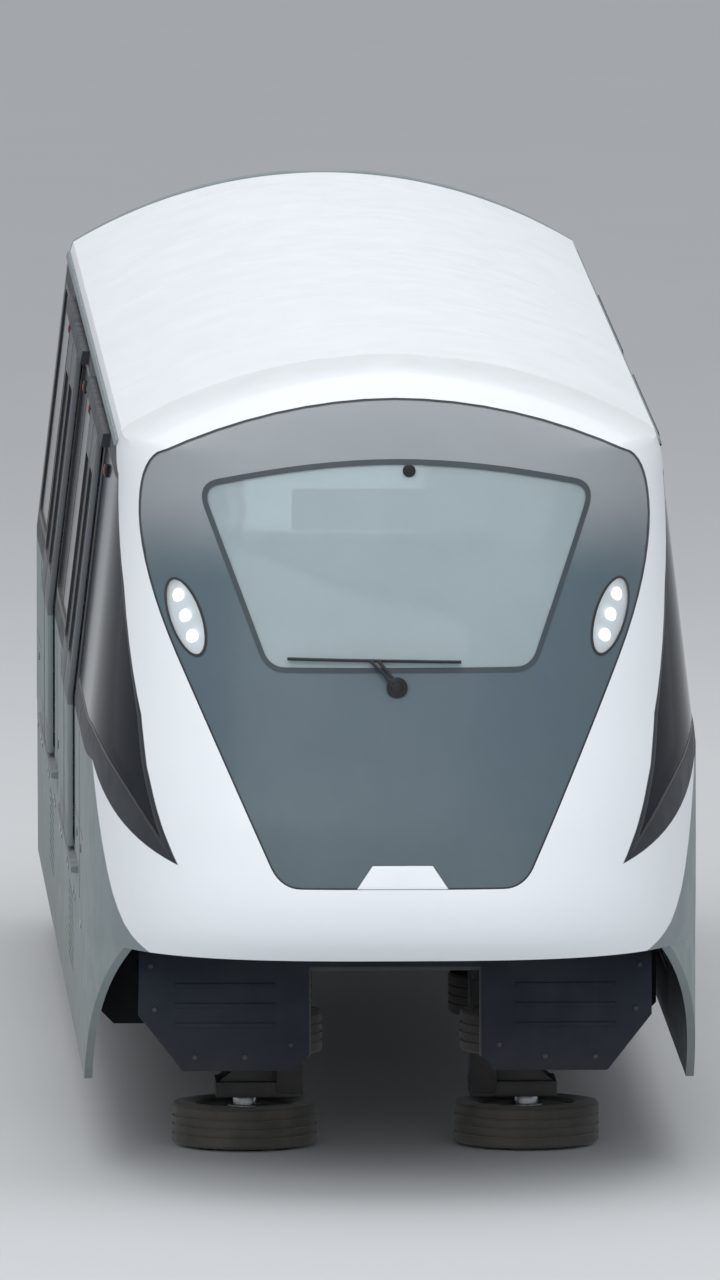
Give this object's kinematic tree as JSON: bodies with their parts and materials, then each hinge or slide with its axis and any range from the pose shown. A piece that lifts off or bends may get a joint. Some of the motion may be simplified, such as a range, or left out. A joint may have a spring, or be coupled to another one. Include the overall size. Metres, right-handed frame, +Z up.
{
  "type": "straddle-beam monorail end car",
  "caption": "End car of a straddle-beam monorail train: raked nose with dark mask, glazed sides, sliding doors, two single-axle bogies that grip the guide beam.",
  "frame": {"origin": "on the running surface of the guide beam, in the middle of the car's width and midway between its two wheel axles", "axes": "+Y along the car from nose to rear, +X to the car's own left, +Z up"},
  "size_m": [3.136, 13.5031, 4.02],
  "materials": {
    "white_paint": "gloss",
    "silver_paint": "satin",
    "mask_panel": "gloss",
    "window_glass": "gloss",
    "lamp_lens": "gloss",
    "dark_paint": "satin",
    "tyre_rubber": "matt",
    "bellows_rubber": "matt",
    "fittings_plastic": "matt",
    "seat_shell": "satin",
    "bare_steel": "brushed"
  },
  "bodies": {
    "car_body": {"underframe": "dark_paint", "wheel_housing_front": "seat_shell", "wheel_housing_rear": "seat_shell", "lower_wall_left": "silver_paint", "lower_wall_right": "silver_paint", "upper_wall_left": "silver_paint", "upper_wall_right": "silver_paint", "roof_shell": "white_paint", "cab_shell": "white_paint", "nose_mask": "mask_panel", "windscreen": "window_glass", "headlamp_left": "lamp_lens", "headlamp_right": "lamp_lens", "coupler_cover": "white_paint", "mid_window_left": "window_glass", "mid_window_right": "window_glass", "rear_window_left": "window_glass", "rear_window_right": "window_glass", "front_window_left": "window_glass", "front_window_right": "window_glass", "rear_end_wall": "silver_paint", "gangway_bellows": "bellows_rubber", "side_skirt_left": "silver_paint", "side_skirt_right": "silver_paint", "front_apron": "dark_paint", "equipment_case_left": "dark_paint", "equipment_case_right": "dark_paint", "front_console": "fittings_plastic", "bench_left": "seat_shell", "bench_right": "seat_shell", "grab_rail_left": "bare_steel", "grab_rail_right": "bare_steel"},
    "lid": {"console_lid": "fittings_plastic"},
    "drawbar_body": {"drawbar": "dark_paint"},
    "bogie_front": {"bogie_frame_front": "dark_paint"},
    "bogie_rear": {"bogie_frame_rear": "dark_paint", "collector_left": "bare_steel", "collector_right": "bare_steel"},
    "axle_front": {"load_wheels_front": "tyre_rubber"},
    "axle_rear": {"load_wheels_rear": "tyre_rubber"},
    "guide_fl1": {"guide_wheel_front_left_1": "tyre_rubber"},
    "guide_fl2": {"guide_wheel_front_left_2": "tyre_rubber"},
    "guide_fr1": {"guide_wheel_front_right_1": "tyre_rubber"},
    "guide_fr2": {"guide_wheel_front_right_2": "tyre_rubber"},
    "guide_rl1": {"guide_wheel_rear_left_1": "tyre_rubber"},
    "guide_rl2": {"guide_wheel_rear_left_2": "tyre_rubber"},
    "guide_rr1": {"guide_wheel_rear_right_1": "tyre_rubber"},
    "guide_rr2": {"guide_wheel_rear_right_2": "tyre_rubber"},
    "stabiliser_fl": {"stabiliser_wheel_front_left": "tyre_rubber"},
    "stabiliser_fr": {"stabiliser_wheel_front_right": "tyre_rubber"},
    "stabiliser_rl": {"stabiliser_wheel_rear_left": "tyre_rubber"},
    "stabiliser_rr": {"stabiliser_wheel_rear_right": "tyre_rubber"},
    "leaf_fl1": {"door_leaf_front_left_1": "silver_paint"},
    "leaf_fl2": {"door_leaf_front_left_2": "silver_paint"},
    "leaf_fr1": {"door_leaf_front_right_1": "silver_paint"},
    "leaf_fr2": {"door_leaf_front_right_2": "silver_paint"},
    "leaf_rl1": {"door_leaf_rear_left_1": "silver_paint"},
    "leaf_rl2": {"door_leaf_rear_left_2": "silver_paint"},
    "leaf_rr1": {"door_leaf_rear_right_1": "silver_paint"},
    "leaf_rr2": {"door_leaf_rear_right_2": "silver_paint"}
  },
  "joints": [
    {"name": "bogie_front_turn", "type": "hinge", "parent": "car_body", "child": "bogie_front", "pos_m": [0, -4.55, 0.1], "axis": [0, 0, 1], "range_deg": [-4, 4]},
    {"name": "bogie_rear_turn", "type": "hinge", "parent": "car_body", "child": "bogie_rear", "pos_m": [0, 4.55, 0.1], "axis": [0, 0, 1], "range_deg": [-4, 4]},
    {"name": "axle_front_spin", "type": "hinge", "parent": "bogie_front", "child": "axle_front", "pos_m": [0, -4.55, 0.525], "axis": [1, 0, 0], "continuous": true},
    {"name": "axle_rear_spin", "type": "hinge", "parent": "bogie_rear", "child": "axle_rear", "pos_m": [0, 4.55, 0.525], "axis": [1, 0, 0], "continuous": true},
    {"name": "guide_fl1_spin", "type": "hinge", "parent": "bogie_front", "child": "guide_fl1", "pos_m": [0.71, -5.4, -0.3], "axis": [0, 0, 1], "continuous": true},
    {"name": "guide_fl2_spin", "type": "hinge", "parent": "bogie_front", "child": "guide_fl2", "pos_m": [0.71, -3.7, -0.3], "axis": [0, 0, 1], "continuous": true},
    {"name": "guide_fr1_spin", "type": "hinge", "parent": "bogie_front", "child": "guide_fr1", "pos_m": [-0.71, -5.4, -0.3], "axis": [0, 0, 1], "continuous": true},
    {"name": "guide_fr2_spin", "type": "hinge", "parent": "bogie_front", "child": "guide_fr2", "pos_m": [-0.71, -3.7, -0.3], "axis": [0, 0, 1], "continuous": true},
    {"name": "guide_rl1_spin", "type": "hinge", "parent": "bogie_rear", "child": "guide_rl1", "pos_m": [0.71, 3.7, -0.3], "axis": [0, 0, 1], "continuous": true},
    {"name": "guide_rl2_spin", "type": "hinge", "parent": "bogie_rear", "child": "guide_rl2", "pos_m": [0.71, 5.4, -0.3], "axis": [0, 0, 1], "continuous": true},
    {"name": "guide_rr1_spin", "type": "hinge", "parent": "bogie_rear", "child": "guide_rr1", "pos_m": [-0.71, 3.7, -0.3], "axis": [0, 0, 1], "continuous": true},
    {"name": "guide_rr2_spin", "type": "hinge", "parent": "bogie_rear", "child": "guide_rr2", "pos_m": [-0.71, 5.4, -0.3], "axis": [0, 0, 1], "continuous": true},
    {"name": "stabiliser_fl_spin", "type": "hinge", "parent": "bogie_front", "child": "stabiliser_fl", "pos_m": [0.71, -4.55, -0.86], "axis": [0, 0, 1], "continuous": true},
    {"name": "stabiliser_fr_spin", "type": "hinge", "parent": "bogie_front", "child": "stabiliser_fr", "pos_m": [-0.71, -4.55, -0.86], "axis": [0, 0, 1], "continuous": true},
    {"name": "stabiliser_rl_spin", "type": "hinge", "parent": "bogie_rear", "child": "stabiliser_rl", "pos_m": [0.71, 4.55, -0.86], "axis": [0, 0, 1], "continuous": true},
    {"name": "stabiliser_rr_spin", "type": "hinge", "parent": "bogie_rear", "child": "stabiliser_rr", "pos_m": [-0.71, 4.55, -0.86], "axis": [0, 0, 1], "continuous": true},
    {"name": "door_fl2_slide", "type": "slide", "parent": "car_body", "child": "leaf_fl2", "axis": [0, 1, 0], "range_m": [0, 0.75]},
    {"name": "door_fl1_slide", "type": "slide", "parent": "car_body", "child": "leaf_fl1", "axis": [0, 1, 0], "range_m": [-0.75, 0]},
    {"name": "door_fr2_slide", "type": "slide", "parent": "car_body", "child": "leaf_fr2", "axis": [0, 1, 0], "range_m": [0, 0.75]},
    {"name": "door_fr1_slide", "type": "slide", "parent": "car_body", "child": "leaf_fr1", "axis": [0, 1, 0], "range_m": [-0.75, 0]},
    {"name": "door_rl2_slide", "type": "slide", "parent": "car_body", "child": "leaf_rl2", "axis": [0, 1, 0], "range_m": [0, 0.75]},
    {"name": "door_rl1_slide", "type": "slide", "parent": "car_body", "child": "leaf_rl1", "axis": [0, 1, 0], "range_m": [-0.75, 0]},
    {"name": "door_rr2_slide", "type": "slide", "parent": "car_body", "child": "leaf_rr2", "axis": [0, 1, 0], "range_m": [0, 0.75]},
    {"name": "door_rr1_slide", "type": "slide", "parent": "car_body", "child": "leaf_rr1", "axis": [0, 1, 0], "range_m": [-0.75, 0]},
    {"name": "console_lid_hinge", "type": "hinge", "parent": "car_body", "child": "lid", "pos_m": [0, -6.68, 1.496], "axis": [1, 0, 0], "range_deg": [0, 70]},
    {"name": "drawbar_swing", "type": "hinge", "parent": "car_body", "child": "drawbar_body", "pos_m": [0, 5.6, 0.105], "axis": [0, 0, 1], "range_deg": [-10, 10]}
  ],
  "couplings": [
    {"joint": "door_fl1_slide", "follows": "door_fl2_slide", "ratio": -1},
    {"joint": "door_fr1_slide", "follows": "door_fr2_slide", "ratio": -1},
    {"joint": "door_rl1_slide", "follows": "door_rl2_slide", "ratio": -1},
    {"joint": "door_rr1_slide", "follows": "door_rr2_slide", "ratio": -1}
  ]
}
